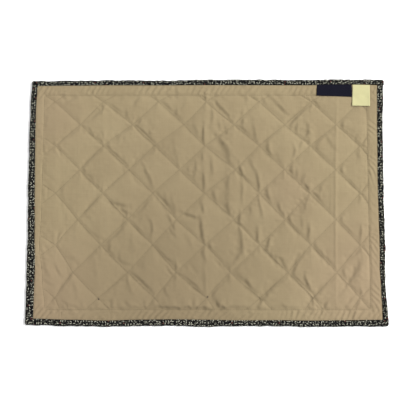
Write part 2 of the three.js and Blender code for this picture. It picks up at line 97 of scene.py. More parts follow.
# Creases pressed and drawn into the cloth: start, middle and end places, and rise in units of
# CREASE_RISE. Each is a soft step that lifts the cloth on the side towards RAISED_SIDE.
CREASES = (
    (-5, 107, -5, 94, -5, 79, 9), (7, 133, 7, 117, 5, 101, 6), (-28, 112, -27, 107, -26, 103, 4),
    (-62, 139, -49, 125, -35, 110, 6), (-43, 129, -42, 124, -44, 118, 5), (-30, 140, -33, 130, -37, 121, 4),
    (15, 110, 16, 104, 17, 98, 4), (23, 104, 26, 97, 28, 89, 5), (48, 119, 48, 110, 47, 100, 7),
    (40, 106, 48, 99, 56, 92, 5), (61, 112, 64, 98, 66, 83, 5), (-8, 66, -7, 59, -7, 52, 4),
    (5, 60, 6, 46, 5, 32, 6), (-16, 53, -16, 43, -19, 33, 6), (-26, 47, -26, 43, -26, 39, 4),
    (-6, 46, -5, 28, -6, 10, 8), (43, 53, 45, 42, 48, 32, 12), (48, 32, 53, 27, 57, 22, 5),
    (47, 30, 47, 15, 46, -2, 8), (55, 60, 60, 50, 65, 38, 6), (66, 41, 69, 26, 68, 11, 8),
    (8, 17, 9, 7, 12, -5, 6), (82, 81, 82, 73, 83, 65, 7), (80, 73, 84, 66, 88, 59, 6),
    (80, 22, 81, 9, 85, -2, 8), (-68, 12, -60, 3, -48, -14, 9), (74, 75, 84, 87, 98, 99, 6),
    (75, 144, 77, 139, 79, 134, 6), (53, 156, 54, 146, 52, 136, 5), (20, 147, 22, 143, 25, 140, 5),
    (-4, 149, -3, 144, -3, 139, 7), (10, 142, 17, 131, 28, 119, 8), (-52, 148, -51, 144, -50, 141, 5),
    (-68, 149, -70, 144, -72, 139, 5), (-41, 156, -41, 149, -41, 143, 4), (-48, 0, -45, -8, -42, -16, 5),
    (-55, -15, -51, -24, -46, -35, 8), (-36, -14, -23, -19, -9, -22, 12), (-10, -21, -7, -40, -4, -61, 10),
    (-6, -62, -6, -72, -2, -81, 7), (-9, 1, -7, -9, -5, -19, 7), (44, -14, 43, -28, 45, -45, 11),
    (69, 1, 72, -13, 74, -27, 5), (67, -34, 67, -45, 66, -56, 7), (84, -46, 81, -57, 79, -68, 8),
    (78, -67, 89, -78, 101, -87, 7), (3, -55, 3, -60, 4, -66, 6), (12, -76, 17, -83, 23, -89, 5),
    (-28, -46, -25, -53, -22, -60, 5), (-48, -41, -45, -45, -42, -49, 5), (-72, -61, -61, -71, -46, -83, 7),
    (-42, -82, -41, -91, -43, -101, 7), (-52, -89, -49, -96, -44, -102, 6),
    (-5, -84, -4, -101, -3, -118, 5), (-30, -102, -18, -112, -3, -128, 6), (8, -131, 10, -122, 21, -111, 7),
    (28, -96, 29, -103, 31, -110, 5), (40, -96, 54, -112, 71, -131, 7), (52, -103, 54, -108, 56, -114, 6),
    (70, -141, 74, -131, 92, -114, 12), (-60, -115, -55, -122, -50, -133, 5),
    (13, -135, 15, -139, 18, -143, 7), (88, 142, 98, 131, 112, 118, 8), (113, 99, 118, 112, 141, 132, 11),
    (122, 112, 122, 103, 121, 93, 9), (136, 82, 138, 80, 140, 77, 6), (117, 78, 118, 68, 116, 58, 6),
    (130, 83, 127, 76, 124, 68, 5), (145, 79, 152, 84, 159, 89, 8), (150, 79, 149, 75, 149, 71, 5),
    (150, 70, 156, 62, 165, 55, 4), (163, 88, 168, 79, 175, 70, 5), (115, 52, 114, 43, 116, 33, 9),
    (120, 45, 121, 37, 120, 30, 6), (132, 36, 130, 30, 127, 23, 6), (133, 23, 135, 18, 138, 13, 9),
    (143, 14, 149, 6, 157, -6, 5), (157, 28, 153, 17, 151, 6, 5), (183, 51, 181, 43, 183, 35, 8),
    (189, 30, 196, 24, 206, 14, 6), (206, 15, 206, 7, 205, -1, 6), (184, 112, 184, 106, 184, 100, 7),
    (204, 89, 204, 82, 217, 75, 6), (205, 69, 205, 63, 205, 57, 4), (144, 143, 147, 137, 150, 131, 6),
    (91, 31, 91, 27, 92, 23, 5), (98, 1, 97, -7, 102, -19, 5), (117, -10, 111, -22, 115, -33, 6),
    (115, -33, 121, -40, 129, -48, 5), (126, -22, 127, -31, 126, -40, 4), (136, -32, 136, -42, 134, -53, 8),
    (184, -17, 180, -24, 183, -32, 7), (183, -32, 189, -38, 196, -45, 5), (206, -34, 206, -44, 204, -58, 7),
    (208, -62, 200, -71, 188, -79, 8), (183, -89, 182, -96, 185, -104, 7),
    (145, -54, 147, -65, 164, -82, 8), (95, -75, 101, -80, 105, -89, 7),
    (136, -67, 121, -80, 115, -103, 10), (116, -101, 123, -108, 131, -116, 5),
    (131, -97, 133, -110, 141, -123, 8), (141, -138, 146, -124, 167, -106, 13),
    (75, -128, 90, -115, 106, -102, 10), (205, -119, 206, -124, 206, -129, 8),
    (199, -126, 191, -134, 184, -146, 7), (204, -130, 198, -142, 192, -156, 9),
    (166, -129, 157, -141, 150, -156, 7), (138, -137, 136, -141, 135, -146, 5),
    (100, -139, 104, -142, 109, -145, 8), (221, -140, 226, -146, 231, -151, 7),
    (-191, 135, -182, 140, -169, 147, 13), (-162, 144, -158, 146, -152, 149, 11),
    (-210, 81, -189, 88, -173, 103, 12), (-173, 105, -162, 95, -145, 83, 6),
    (-161, 103, -159, 99, -156, 94, 6), (-159, 111, -152, 116, -146, 122, 8),
    (-147, 117, -142, 126, -139, 138, 6), (-131, 134, -122, 126, -113, 118, 6),
    (-110, 125, -110, 121, -110, 116, 9), (-118, 137, -116, 142, -113, 147, 8),
    (-88, 151, -94, 140, -104, 124, 8), (-91, 113, -92, 109, -94, 105, 8), (-96, 105, -85, 93, -70, 79, 8),
    (-78, 96, -77, 92, -76, 88, 6), (-121, 94, -112, 96, -103, 101, 10), (-135, 80, -134, 75, -132, 70, 7),
    (-131, 72, -122, 62, -109, 51, 8), (-168, 46, -156, 60, -141, 73, 12),
    (-200, 79, -198, 68, -182, 53, 5), (-167, 46, -166, 42, -166, 38, 7), (-161, 39, -158, 35, -154, 31, 6),
    (-170, 41, -160, 30, -147, 20, 5), (-194, 4, -194, 22, -180, 37, 11), (-214, 37, -212, 34, -208, 31, 7),
    (-143, 13, -148, 3, -156, -7, 11), (-141, 8, -128, -2, -107, -4, 11), (-130, 21, -121, 29, -112, 37, 8),
    (-112, 49, -112, 43, -112, 37, 5), (-102, 43, -93, 27, -72, 15, 7), (-88, 51, -80, 35, -73, 19, 9),
    (-99, 49, -90, 60, -73, 67, 9), (-221, -68, -218, -87, -210, -103, 9),
    (-218, -104, -212, -109, -205, -113, 6), (-190, -15, -190, -22, -190, -29, 6),
    (-194, 3, -194, -4, -194, -11, 5), (-189, -37, -199, -48, -201, -63, 7),
    (-152, 1, -158, -9, -171, -19, 12), (-161, -19, -158, -23, -154, -28, 5),
    (-173, -28, -160, -40, -139, -52, 8), (-119, -8, -111, -14, -101, -18, 10),
    (-126, -3, -115, -5, -104, -8, 10), (-111, -22, -118, -42, -138, -57, 9),
    (-78, 3, -84, -6, -91, -15, 8), (-88, -18, -89, -23, -91, -29, 5), (-81, -20, -74, -36, -79, -53, 6),
    (-101, -29, -93, -38, -85, -47, 7), (-132, -57, -131, -61, -131, -65, 8),
    (-133, -66, -126, -73, -119, -81, 6), (-117, -71, -112, -83, -94, -85, 9),
    (-146, -61, -152, -69, -161, -79, 8), (-190, -76, -181, -77, -171, -85, 8),
    (-186, -84, -186, -90, -184, -96, 6), (-206, -82, -199, -94, -189, -104, 6),
    (-172, -87, -187, -105, -205, -130, 12), (-205, -129, -204, -133, -202, -137, 7),
    (-183, -108, -176, -117, -174, -131, 7), (-197, -127, -190, -135, -183, -144, 6),
    (-184, -138, -179, -140, -173, -144, 10), (-168, -132, -167, -137, -165, -143, 6),
    (-127, -131, -127, -136, -127, -141, 6), (-109, -135, -106, -138, -102, -143, 7),
    (-82, -131, -83, -137, -83, -143, 5), (-107, -97, -124, -113, -141, -128, 7),
    (-103, -95, -89, -106, -71, -125, 10),
)
# Broader folds, in the same columns.
FOLDS = (
    (-20, 112, -18, 102, -14, 90, 6), (-60, 12, -54, 2, -47, -13, 7), (-48, 95, -45, 72, -40, 47, 4),
    (-60, 83, -60, 77, -60, 71, 3), (14, 88, 25, 71, 29, 48, 15), (26, 42, 27, 28, 28, 8, 8),
    (58, 71, 60, 63, 62, 58, 3), (26, 8, 27, -7, 30, -23, 9), (43, -42, 45, -66, 28, -89, 14),
    (58, -4, 57, -13, 56, -22, 4), (-20, -85, -15, -92, -10, -99, 4), (133, 108, 137, 97, 131, 85, 10),
    (98, 71, 97, 61, 100, 50, 3), (134, 3, 130, -8, 126, -21, 5), (208, -71, 201, -94, 179, -126, 14),
    (-145, 98, -143, 93, -141, 87, 5), (-122, 93, -121, 86, -121, 79, 5), (-132, 46, -133, 38, -133, 29, 3),
    (-183, 12, -184, -2, -183, -16, 3), (-117, 26, -117, 21, -116, 16, 3),
    (-113, -34, -113, -41, -113, -49, 4), (-102, -40, -102, -58, -101, -76, 6),
    (-152, -79, -151, -93, -151, -108, 5), (-109, -98, -105, -113, -99, -131, 6),
    (-88, -77, -87, -87, -86, -98, 4),
)
RAISED_SIDE = (0.96, 0.28)
CREASE_RISE = 0.176
CREASE_WIDTH, FOLD_WIDTH = 1.65, 3.0  # half widths of the steps
# An upright crease, which leans less than this, is broad below its ridge, and others above.
UPRIGHT_LEAN, BROAD_SIDE, SHARP_SIDE = 0.5, 1.7, 0.8
FALL_WIDTHS, REACH_WIDTHS = 4, 12     # half widths over which a step falls away, and where it ends
STRENGTHS = ((-240, 0.4), (-90, 0.75), (0, 1.1), (120, 1.05), (240, 1.0))  # of creases by x
# Points of a path, share of it at either end where it is faintest, and how it fades.
PATH_POINTS, END_SHARE, END_EASE = 33, 0.08, 0.7
# Lines ironed in across the mat, left as low ridges: start, middle, end, height and half width.
PRESSED_LINES = ((177, 140, 173, -10, 172, -157, 0.75, 1.5), (168, 40, 167, -10, 167, -62, 0.25, 1.5))

# Ripples of the border, drawn up by its stitching: side, pitch, height, slant along the edge
# and how much the slant varies.
BORDER_RIPPLES = (("top", 8.5, 0.55, -0.7, 0.2), ("right", 12.0, 0.42, 1.6, 0.35),
                  ("bottom", 7.5, 0.68, 0.9, 0.65), ("left", 12.0, 0.18, 0.5, 1.0))
RIPPLE_EASE, RIPPLE_SHARPNESS = 2.5, 0.7
BORDER_ZONE, ZONE_EASE = 30.0, 8.0    # how far in from an edge its ripples may reach
# Puckers beside the two families of quilting lines: pitch, height, and wander as a layer.
PUCKERS = ((6.8, 0.14, (3.0, 13.0, 14)), (6.2, 0.28, (3.0, 13.0, 15)))
PUCKER_REACH, PUCKER_START = 3.5, 0.8
# Wrinkles across the sewn frame: reach, slant, how they are drawn out, and turn at its corners.
SEAM_REACH, SEAM_SLANT, WRINKLE_DRAWN, SEAM_TURN = 6.0, 0.6, 0.3, 25.0
# Ragged bulge of padding above the frame's bottom side: x and height, reach and fading.
GATHERS = ((-190, 0.4), (-90, 0.8), (-60, 2.6), (0, 2.6), (8, 0.8), (18, 2.4), (55, 1.0), (110, 0.8),
           (140, 0.2))
GATHER_REACH, GATHER_FADE = 5.2, 9.0

# Layers of seeded unevenness: height, pitch and seed.
CREASE_WANDER_X, CREASE_WANDER_Y = (0.8, 7.0, 25), (0.8, 7.0, 26)
CREASE_BROKEN = (0.45, 5.0, 12)
RIPPLE_LEAN, RIPPLE_WANDER = (1.0, 28.0, 21), (3.2, 22.0, 9)
SEAM_LEVEL, SEAM_UPRIGHT = (0.75, 7.0, 18), (0.25, 7.0, 20)
GATHER_RAGGED, FILLING_UNEVEN, LABEL_UNEVEN = (2.5, 5.0, 19), (0.08, 46.0, 6), (0.12, 9.0, 31)
START_UNEVEN, CLOTH_UNEVEN = ((0.14, 5.0, 8), (0.10, 11.0, 7)), ((0.06, 4.0, 16), (0.12, 9.0, 17))
BINDING_WOBBLE, BINDING_PUFF = ((0.30, 9.0, 21), (0.5, 3.6, 23)), (0.22, 6.0, 22)
# What comes and goes in patches: mean, layer and most.
RIPPLE_PATCHES = (0.55, (0.85, 20.0, 10), 1.3)
PUCKER_PATCHES = (0.45, (0.9, 21.0, 13), 1.4)
SPARE_PATCHES = (0.6, (1.0, 18.0, 3), 2.2)
NOISE_CELLS, NOISE_SHIFT = 64, 1000.0

# Settling of the cloth over its padding: spare cloth everywhere and near the stitching, stiffness,
# how fast creases rise from sewn lines, and distances within which cloth is held.
SPARE_EVERYWHERE, SPARE_NEAR_LINES, SPARE_REACH = 0.002, 0.030, 6.0
SETTLE_STEPS, PADDING_PUSH = 120, 0.003
BIAS_STIFFNESS, CLOTH_STIFFNESS = 0.2, 0.05
LINE_EASE, FRAME_EASE = 1.2, 1.5
LINE_HELD, FRAME_HELD, RIM_HELD, TOUCHING = 0.3, 0.05, 0.2, 0.01

# Sewing: stitch length, spacing, thread radius and how far a stitch stands above its groove.
STITCH_LENGTH, STITCH_PITCH, THREAD_RADIUS, STITCH_LIFT = 2.1, 2.7, 0.26, 0.10
# Rings of a stitch: place from its middle, width, and lift in thread radii.
STITCH_RINGS = ((-1.0, 0.0, -0.6), (-0.45, 0.95, 0.2), (0.0, 1.0, 0.5), (0.45, 0.95, 0.2), (1.0, 0.0, -0.6))
THREAD_SIDES = 5
SHORTEST_LINE = 8    # points of a line too short to be sewn

# Binding strips: side, neighbour and end where it butts, and neighbour whose corner it laps.
STRIPS = (("top", "left", -1, "right"), ("right", "top", 1, "bottom"),
          ("bottom", "right", 1, "left"), ("left", "bottom", -1, "top"))
SECTION_SPACING, FOLD_POINTS, LEG_POINTS = 1.6, 13, 9
CLOTH_THICKNESS = 0.75
LEG_TOP = 3.35       # height of a strip's upper leg at its edge
# A strip's section as inset and height: upper and lower edge from its cover, slot from its depth.
UPPER_EDGE = ((0.22, 3.1), (0.2, 2.8), (0.0, 2.56))
SLOT = ((0.3, 2.56), (0.0, 2.3), (0.0, 1.3), (0.3, 1.0))
LOWER_EDGE = ((0.0, 1.0), (0.2, 0.75), (0.22, 0.3))
# The lapped end: its wall, slot, start of its close sections, their places, and how it is drawn in.
END_WALL, END_SLOT, END_FROM = 0.9, 0.4, 3.0
END_PLACES = (2.0, 1.2, END_WALL, 0.6, 0.25, 0.0)
END_DRAWN, DRAWN_LENGTH = 1.1, 2.5
# Where a strip puffs: from this height, eased over this rise, and eased in from its edge.
PUFF_FROM, PUFF_RISE, PUFF_EDGE, PUFF_EASE = 2.6, 1.0, 0.2, 1.2
# A strip as cut: cover on each face, turn, and spacing on the printed cloth from strip to strip.
CUT_COVER, CUT_TURN, STRIP_SPACING = 8.0, 2.0, 43.0

# Labels: name, left and right x at the top and at the bottom, y of the lower edge at its left and
# right ends, thickness, and lift of that free edge.
LABELS = (("label_dark", (150.3, 197.9), (149.3, 197.8), (145.2, 143.6), 0.55, 0.2),
          ("label_cream", (199.1, 222.3), (197.6, 222.1), (130.9, 130.6), 0.4, 0.9))
LABEL_POINT_SPACING, LABEL_ROUNDING = 0.8, 0.25
LABEL_EASE = 3.0     # over which cloth pressed flat by a label rises again
# Length tucked under the binding's edge, and from there to where a label lies on the quilting.
LABEL_TUCK, LABEL_DROP = 0.35, 5.0
LABEL_RIM_GAP, LABEL_GAP = 0.12, 0.35     # over the rim and over the quilting
LABEL_NEAR, LABEL_SMOOTHING = 8, 3.2      # how far a label feels the cloth, and evens it out

# Camera of the view, in degrees and metres: nearly overhead, from the front edge.
CAMERA_ELEVATION, CAMERA_DISTANCE = 83.0, 1.375
CAMERA_AIM = (0.0014, -0.0092, 0.002)
SENSOR_WIDTH, FOCAL_PIXELS, IMAGE_PIXELS = 36.0, 1020.7, 416

# Light and floor, in degrees and metres: a broad key from the mat's right, an even white surround,
# and paper just under the mat.
KEY_AZIMUTH, KEY_ELEVATION = 18.0, 41.0
KEY_DISTANCE, KEY_SIZE, KEY_POWER = 5.0, 1.7, 392.0
SURROUND = 0.92
FLOOR_SIZE, FLOOR_HEIGHT, FLOOR_GRAIN = 6.0, -0.0002, 0.004
FLOOR_PALE, FLOOR_WHITE = (0.92, 0.92, 0.92, 1.0), (0.94, 0.94, 0.94, 1.0)


def smoothstep(t):
    t = np.clip(t, 0.0, 1.0)
    return t * t * (3.0 - 2.0 * t)


def eased(table, at):
    """A table's columns at places along its first column, eased from row to row."""
    table = np.array(table, float)
    at = np.asarray(at, float)
    row = np.clip(np.searchsorted(table[:, 0], at, side="right") - 1, 0, len(table) - 2)
    share = smoothstep((at - table[row, 0]) / (table[row + 1, 0] - table[row, 0]))
    values = table[row] + (table[row + 1] - table[row]) * share[..., None]
    return np.moveaxis(values, -1, 0)


def by_x(table, x):
    """A table's values between its rows, at places across the mat."""
    return np.interp(x, *zip(*table))


def edge_values(side, at):
    """How far an edge stands out and how wide its binding shows, at places along it."""
    return eased(EDGES[side], at)[1:]


def frame_left(y):
    """Where the left side of the sewn frame lies."""
    return eased(FRAME_LEFT, y)[1]


def reach(side, at):
    """Distance of an edge from the middle of the mat."""
    return SIDES[side][2] + edge_values(side, at)[0]


def inner_reach(side, at):
    """Distance of the binding's inner edge from the middle of the mat."""
    out, cover = edge_values(side, at)
    return SIDES[side][2] + out - cover


def leaning(places, y):
    """A leaning column's x at y: a parabola through its top, middle and bottom places."""
    top, middle, bottom = places
    t = y / ROWS[1]
    return middle + (top - bottom) / 2 * t + ((top + bottom) / 2 - middle) * t * t


def within_frame(x, y):
    """Distance inside the sewn frame, less than 0 outside it."""
    return np.minimum.reduce([FRAME_TOP - y, y - FRAME_BOTTOM, FRAME_RIGHT - x, x - frame_left(y)])


def within_rim(x, y):
    """Distance inside the binding's inner edge, less than 0 under the binding."""
    return np.minimum.reduce([inner_reach("top", x) - y, y + inner_reach("bottom", x),
                              inner_reach("right", y) - x, x + inner_reach("left", y)])


def value_noise(x, y, pitch, seed):
    """Smooth noise from -1 to 1 with features about one pitch across."""
    table = np.random.default_rng(seed).uniform(-1.0, 1.0, (NOISE_CELLS, NOISE_CELLS))
    gx, gy = x / pitch + NOISE_SHIFT, y / pitch + NOISE_SHIFT
    i, j = np.floor(gx).astype(int), np.floor(gy).astype(int)
    fx, fy = smoothstep(gx - i), smoothstep(gy - j)

    def corner(a, b):
        return table[(i + a) % NOISE_CELLS, (j + b) % NOISE_CELLS]

    low = corner(0, 0) * (1 - fx) + corner(1, 0) * fx
    high = corner(0, 1) * (1 - fx) + corner(1, 1) * fx
    return low * (1 - fy) + high * fy


def uneven(x, y, *layers):
    """Sum of layers of noise."""
    return sum(height * value_noise(x, y, pitch, seed) for height, pitch, seed in layers)


def patches(x, y, mean, layer, most):
    """An amount that comes and goes about its mean, from 0 to a most."""
    return np.clip(mean + uneven(x, y, layer), 0.0, most)


def from_line(steps):
    """Lattice steps to the nearest sewn line of a family: 0 on a line, 1 halfway to the next."""
    return np.abs(steps - 2.0 * np.round(steps / 2.0))


def rounded_nearest(a, b):
    """The lesser of two distances, rounded off where they are alike."""
    powers = np.maximum(a, TOUCHING) ** -ROUNDING + np.maximum(b, TOUCHING) ** -ROUNDING
    return powers ** (-1 / ROUNDING)


def swell(distance):
    """Rise of padded cloth from a sewn line, quick at first and then gentle."""
    steep = SWELL_STEEP * np.exp(-distance / STEEP_REACH)
    return 1.0 - steep - (1.0 - SWELL_STEEP) * np.exp(-distance / SWELL_REACH)


def path_through(start, middle, end):
    """Points of a curve through three places, with its directions."""
    start, middle, end = (np.array(place, float) for place in (start, middle, end))
    bend = 2 * middle - (start + end) / 2
    t = np.linspace(0.0, 1.0, PATH_POINTS)[:, None]
    path = (1 - t) ** 2 * start + 2 * t * (1 - t) * bend + t ** 2 * end
    along = np.gradient(path, axis=0)
    return path, along / np.linalg.norm(along, axis=1)[:, None]


def across_path(x, y, row, width):
    """Where a path is near: mask, distance across it towards its raised side, and fade to its ends."""
    path, along = path_through(row[0:2], row[2:4], row[4:6])
    normal = np.stack([along[:, 1], -along[:, 0]], -1)
    normal *= math.copysign(1.0, normal.mean(0) @ np.array(RAISED_SIDE))
    low, high = path.min(0) - REACH_WIDTHS * width, path.max(0) + REACH_WIDTHS * width
    near = (x > low[0]) & (x < high[0]) & (y > low[1]) & (y < high[1])
    offsets = np.stack([x[near], y[near]], -1)[:, None] - path[None]
    nearest = np.argmin((offsets ** 2).sum(-1), 1)
    offset = offsets[np.arange(len(nearest)), nearest]
    across = (offset * normal[nearest]).sum(-1)
    at_end = (nearest == 0) | (nearest == PATH_POINTS - 1)
    past = np.where(at_end, (offset * along[nearest]).sum(-1), 0.0)
    share = np.clip(nearest / (PATH_POINTS - 1), END_SHARE, 1.0 - END_SHARE)
    fade = np.sin(np.pi * share) ** END_EASE
    return near, across, fade * np.exp(-(past / (2 * width)) ** 2)


def crease_relief(x, y):
    """Height added by creases and folds."""
    relief = np.zeros_like(x)
    bent_x = x + uneven(x, y, CREASE_WANDER_X)
    bent_y = y + uneven(x, y, CREASE_WANDER_Y)
    for rows, width in ((CREASES, CREASE_WIDTH), (FOLDS, FOLD_WIDTH)):
        for row in rows:
            near, across, fade = across_path(bent_x, bent_y, row, width)
            broken = 1.0 + uneven(x[near], y[near], CREASE_BROKEN)
            upright = abs(row[4] - row[0]) < UPRIGHT_LEAN * abs(row[5] - row[1])
            low, high = (BROAD_SIDE, SHARP_SIDE) if upright else (SHARP_SIDE, BROAD_SIDE)
            step = np.tanh(across / (width * np.where(across < 0, low, high)))
            step -= np.tanh(across / (FALL_WIDTHS * width))
            relief[near] += CREASE_RISE * row[6] * fade * broken * step
    return relief * by_x(STRENGTHS, x)


def pressed_relief(x, y):
    """Height of the ironed lines' ridges."""
    relief = np.zeros_like(x)
    for *path, height, width in PRESSED_LINES:
        near, across, fade = across_path(x, y, path, width)
        relief[near] += height * fade * np.exp(-(across / width) ** 2)
    return relief


def border_relief(x, y, outside, to_rim):
    """Slanting ripples of the border between the sewn frame and the binding."""
    across = smoothstep(outside / RIPPLE_EASE) * smoothstep(to_rim / RIM_EASE)
    relief = np.zeros_like(x)
    for side, pitch, height, slant, varying in BORDER_RIPPLES:
        (along_x, along_y), (out_x, out_y), half = SIDES[side]
        along = x * along_x + y * along_y
        out = x * out_x + y * out_y
        here = smoothstep((out - (half - BORDER_ZONE)) / ZONE_EASE) * across
        lean = slant * (1.0 + varying * uneven(along, np.zeros_like(out), RIPPLE_LEAN))
        phase = 2 * np.pi * (along + lean * (out - half)) / pitch
        turn = phase + uneven(along, out, RIPPLE_WANDER)
        wave = np.sin(turn + RIPPLE_SHARPNESS * np.sin(turn))
        relief += height * here * patches(along, out, *RIPPLE_PATCHES) * wave
    return relief


def pucker_relief(x, y, u, v, to_rise, to_fall):
    """Short ripples that the stitching draws up beside each line, and the cloth's fine unevenness."""
    ripples = 0.0
    for away, run, (pitch, height, wander) in zip((to_rise, to_fall), (u - v, u + v), PUCKERS):
        wave = np.sin(2 * np.pi * run * HALF_SPACING / pitch + uneven(x, y, wander))
        beside = np.exp(-away / PUCKER_REACH) * (1.0 - np.exp(-away / PUCKER_START))
        ripples = ripples + height * wave * beside
    return patches(x, y, *PUCKER_PATCHES) * ripples + uneven(x, y, *CLOTH_UNEVEN)


def seam_relief(x, y, inside):
    """Uneven slanting wrinkles that the frame's stitching draws across itself."""
    upright = smoothstep(0.5 + SEAM_TURN * (np.abs(x) / MAT_LENGTH - np.abs(y) / MAT_WIDTH))
    level_side = uneven(x + SEAM_SLANT * y, WRINKLE_DRAWN * y, SEAM_LEVEL)
    upright_side = uneven(WRINKLE_DRAWN * x, y + SEAM_SLANT * x, SEAM_UPRIGHT)
    wrinkles = (1.0 - upright) * level_side + upright * upright_side
    return wrinkles * np.exp(-np.abs(inside) / SEAM_REACH)


def gather_relief(x, y):
    """Padding that bulges over the frame's bottom side with a ragged edge."""
    above = y - FRAME_BOTTOM + uneven(x, WRINKLE_DRAWN * y, GATHER_RAGGED)
    fading = np.exp(-np.maximum(above - GATHER_REACH, 0.0) / GATHER_FADE)
    return by_x(GATHERS, x) * smoothstep(above / GATHER_REACH) * fading


def clear_of_labels(x, y):
    """0 under the labels, where the cloth is pressed flat, and 1 away from them."""
    clear = np.ones_like(x)
    for _, at_top, _, low_ends, _, _ in LABELS:
        under = np.minimum.reduce([x - at_top[0], at_top[1] - x, y - min(low_ends)])
        clear *= 1.0 - smoothstep(1.0 + under / LABEL_EASE)
    return clear


def thread_sets():
    """Pairs of neighbouring grid points, in sets that share no point, with their stiffness."""
    every, first, second = slice(None), slice(None, -1), slice(1, None)
    for k in (0, 1):
        low, high = slice(k, -1, 2), slice(k + 1, None, 2)
        yield (every, low), (every, high), 1.0
        yield (low, every), (high, every), 1.0
        yield (low, first), (high, second), BIAS_STIFFNESS
        yield (low, second), (high, first), BIAS_STIFFNESS


def bending(z):
    """How sharply each grid point bends away from its neighbours' own bending."""
    def from_mean(height):
        away = np.zeros_like(height)
        ring = height[1:-1, 2:] + height[1:-1, :-2] + height[2:, 1:-1] + height[:-2, 1:-1]
        away[1:-1, 1:-1] = ring / 4 - height[1:-1, 1:-1]
        return away
    return from_mean(from_mean(z))


def settle(start, padding, spare, held):
    """Let cloth with a share of spare length settle over its padding between held points."""
    points = start.copy()
    free = 1.0 - held
    sets = []
    for a, b, stiffness in thread_sets():
        lengths = np.linalg.norm(start[b] - start[a], axis=-1)
        rest = lengths * (1.0 + 0.5 * (spare[a] + spare[b]))
        total = np.maximum(free[a] + free[b], 1e-9)
        sets.append((a, b, rest, stiffness * free[a] / total, stiffness * free[b] / total))
    for _ in range(SETTLE_STEPS):
        for a, b, rest, share_a, share_b in sets:
            gap = points[b] - points[a]
            pull = gap * (1.0 - rest / np.linalg.norm(gap, axis=-1))[..., None]
            points[a] += pull * share_a[..., None]
            points[b] -= pull * share_b[..., None]
        z = points[..., 2]
        z += free * (PADDING_PUSH * (padding - z) - CLOTH_STIFFNESS * bending(z))
    return points


def outward(from_frame, side, at, border_steps):
    """Places from the sewn frame out across the border and under the binding of a side."""
    rim, edge = inner_reach(side, at), reach(side, at) - EDGE_INSET
    border = np.linspace(0, 1, border_steps + 1)[1:]
    under = np.linspace(0, 1, RIM_STEPS + 1)[1:]
    return np.concatenate([from_frame + (rim - from_frame) * border, rim + (edge - rim) * under])


def lattice_steps(count):
    """A lattice direction's steps from frame to frame: every grid point, and frame and crossings."""
    every = np.arange(round((count - 1 + 2 * MARGIN) * STEPS) + 1) / STEPS - MARGIN
    return every, np.concatenate([[-MARGIN], np.arange(count), [count - 1 + MARGIN]])


def panel_grid():
    """Places and lattice steps of the panel's grid, row by row from the top left."""
    lattice_u, known_u = lattice_steps(len(COLUMNS))
    lattice_v, known_v = lattice_steps(len(ROWS))
    frame_y = np.interp(lattice_v, known_v, [FRAME_TOP, *ROWS, FRAME_BOTTOM])
    above = outward(FRAME_TOP, "top", 0.0, BORDER_ROWS)
    below = outward(-FRAME_BOTTOM, "bottom", 0.0, BORDER_ROWS)
    row_y = np.concatenate([above[::-1], frame_y, -below])
    xs = []
    for y in row_y:
        known_x = [frame_left(y), *[leaning(c, y) for c in COLUMNS], FRAME_RIGHT]
        inside = np.interp(lattice_u, known_u, known_x)
        left = outward(-inside[0], "left", y, BORDER_COLUMNS)
        right = outward(inside[-1], "right", y, BORDER_COLUMNS)
        xs.append(np.concatenate([-left[::-1], inside, right]))
    x = np.array(xs)
    y = np.repeat(row_y[:, None], x.shape[1], 1)
    outer = len(above)
    for column in range(x.shape[1]):
        at = x[outer, column]
        y[:outer, column] = outward(FRAME_TOP, "top", at, BORDER_ROWS)[::-1]
        y[-outer:, column] = -outward(-FRAME_BOTTOM, "bottom", at, BORDER_ROWS)
    u = np.pad(lattice_u, len(left), "edge")
    v = np.pad(lattice_v, outer, "edge")
    return x, y, np.repeat(u[None], len(v), 0), np.repeat(v[:, None], len(u), 1)


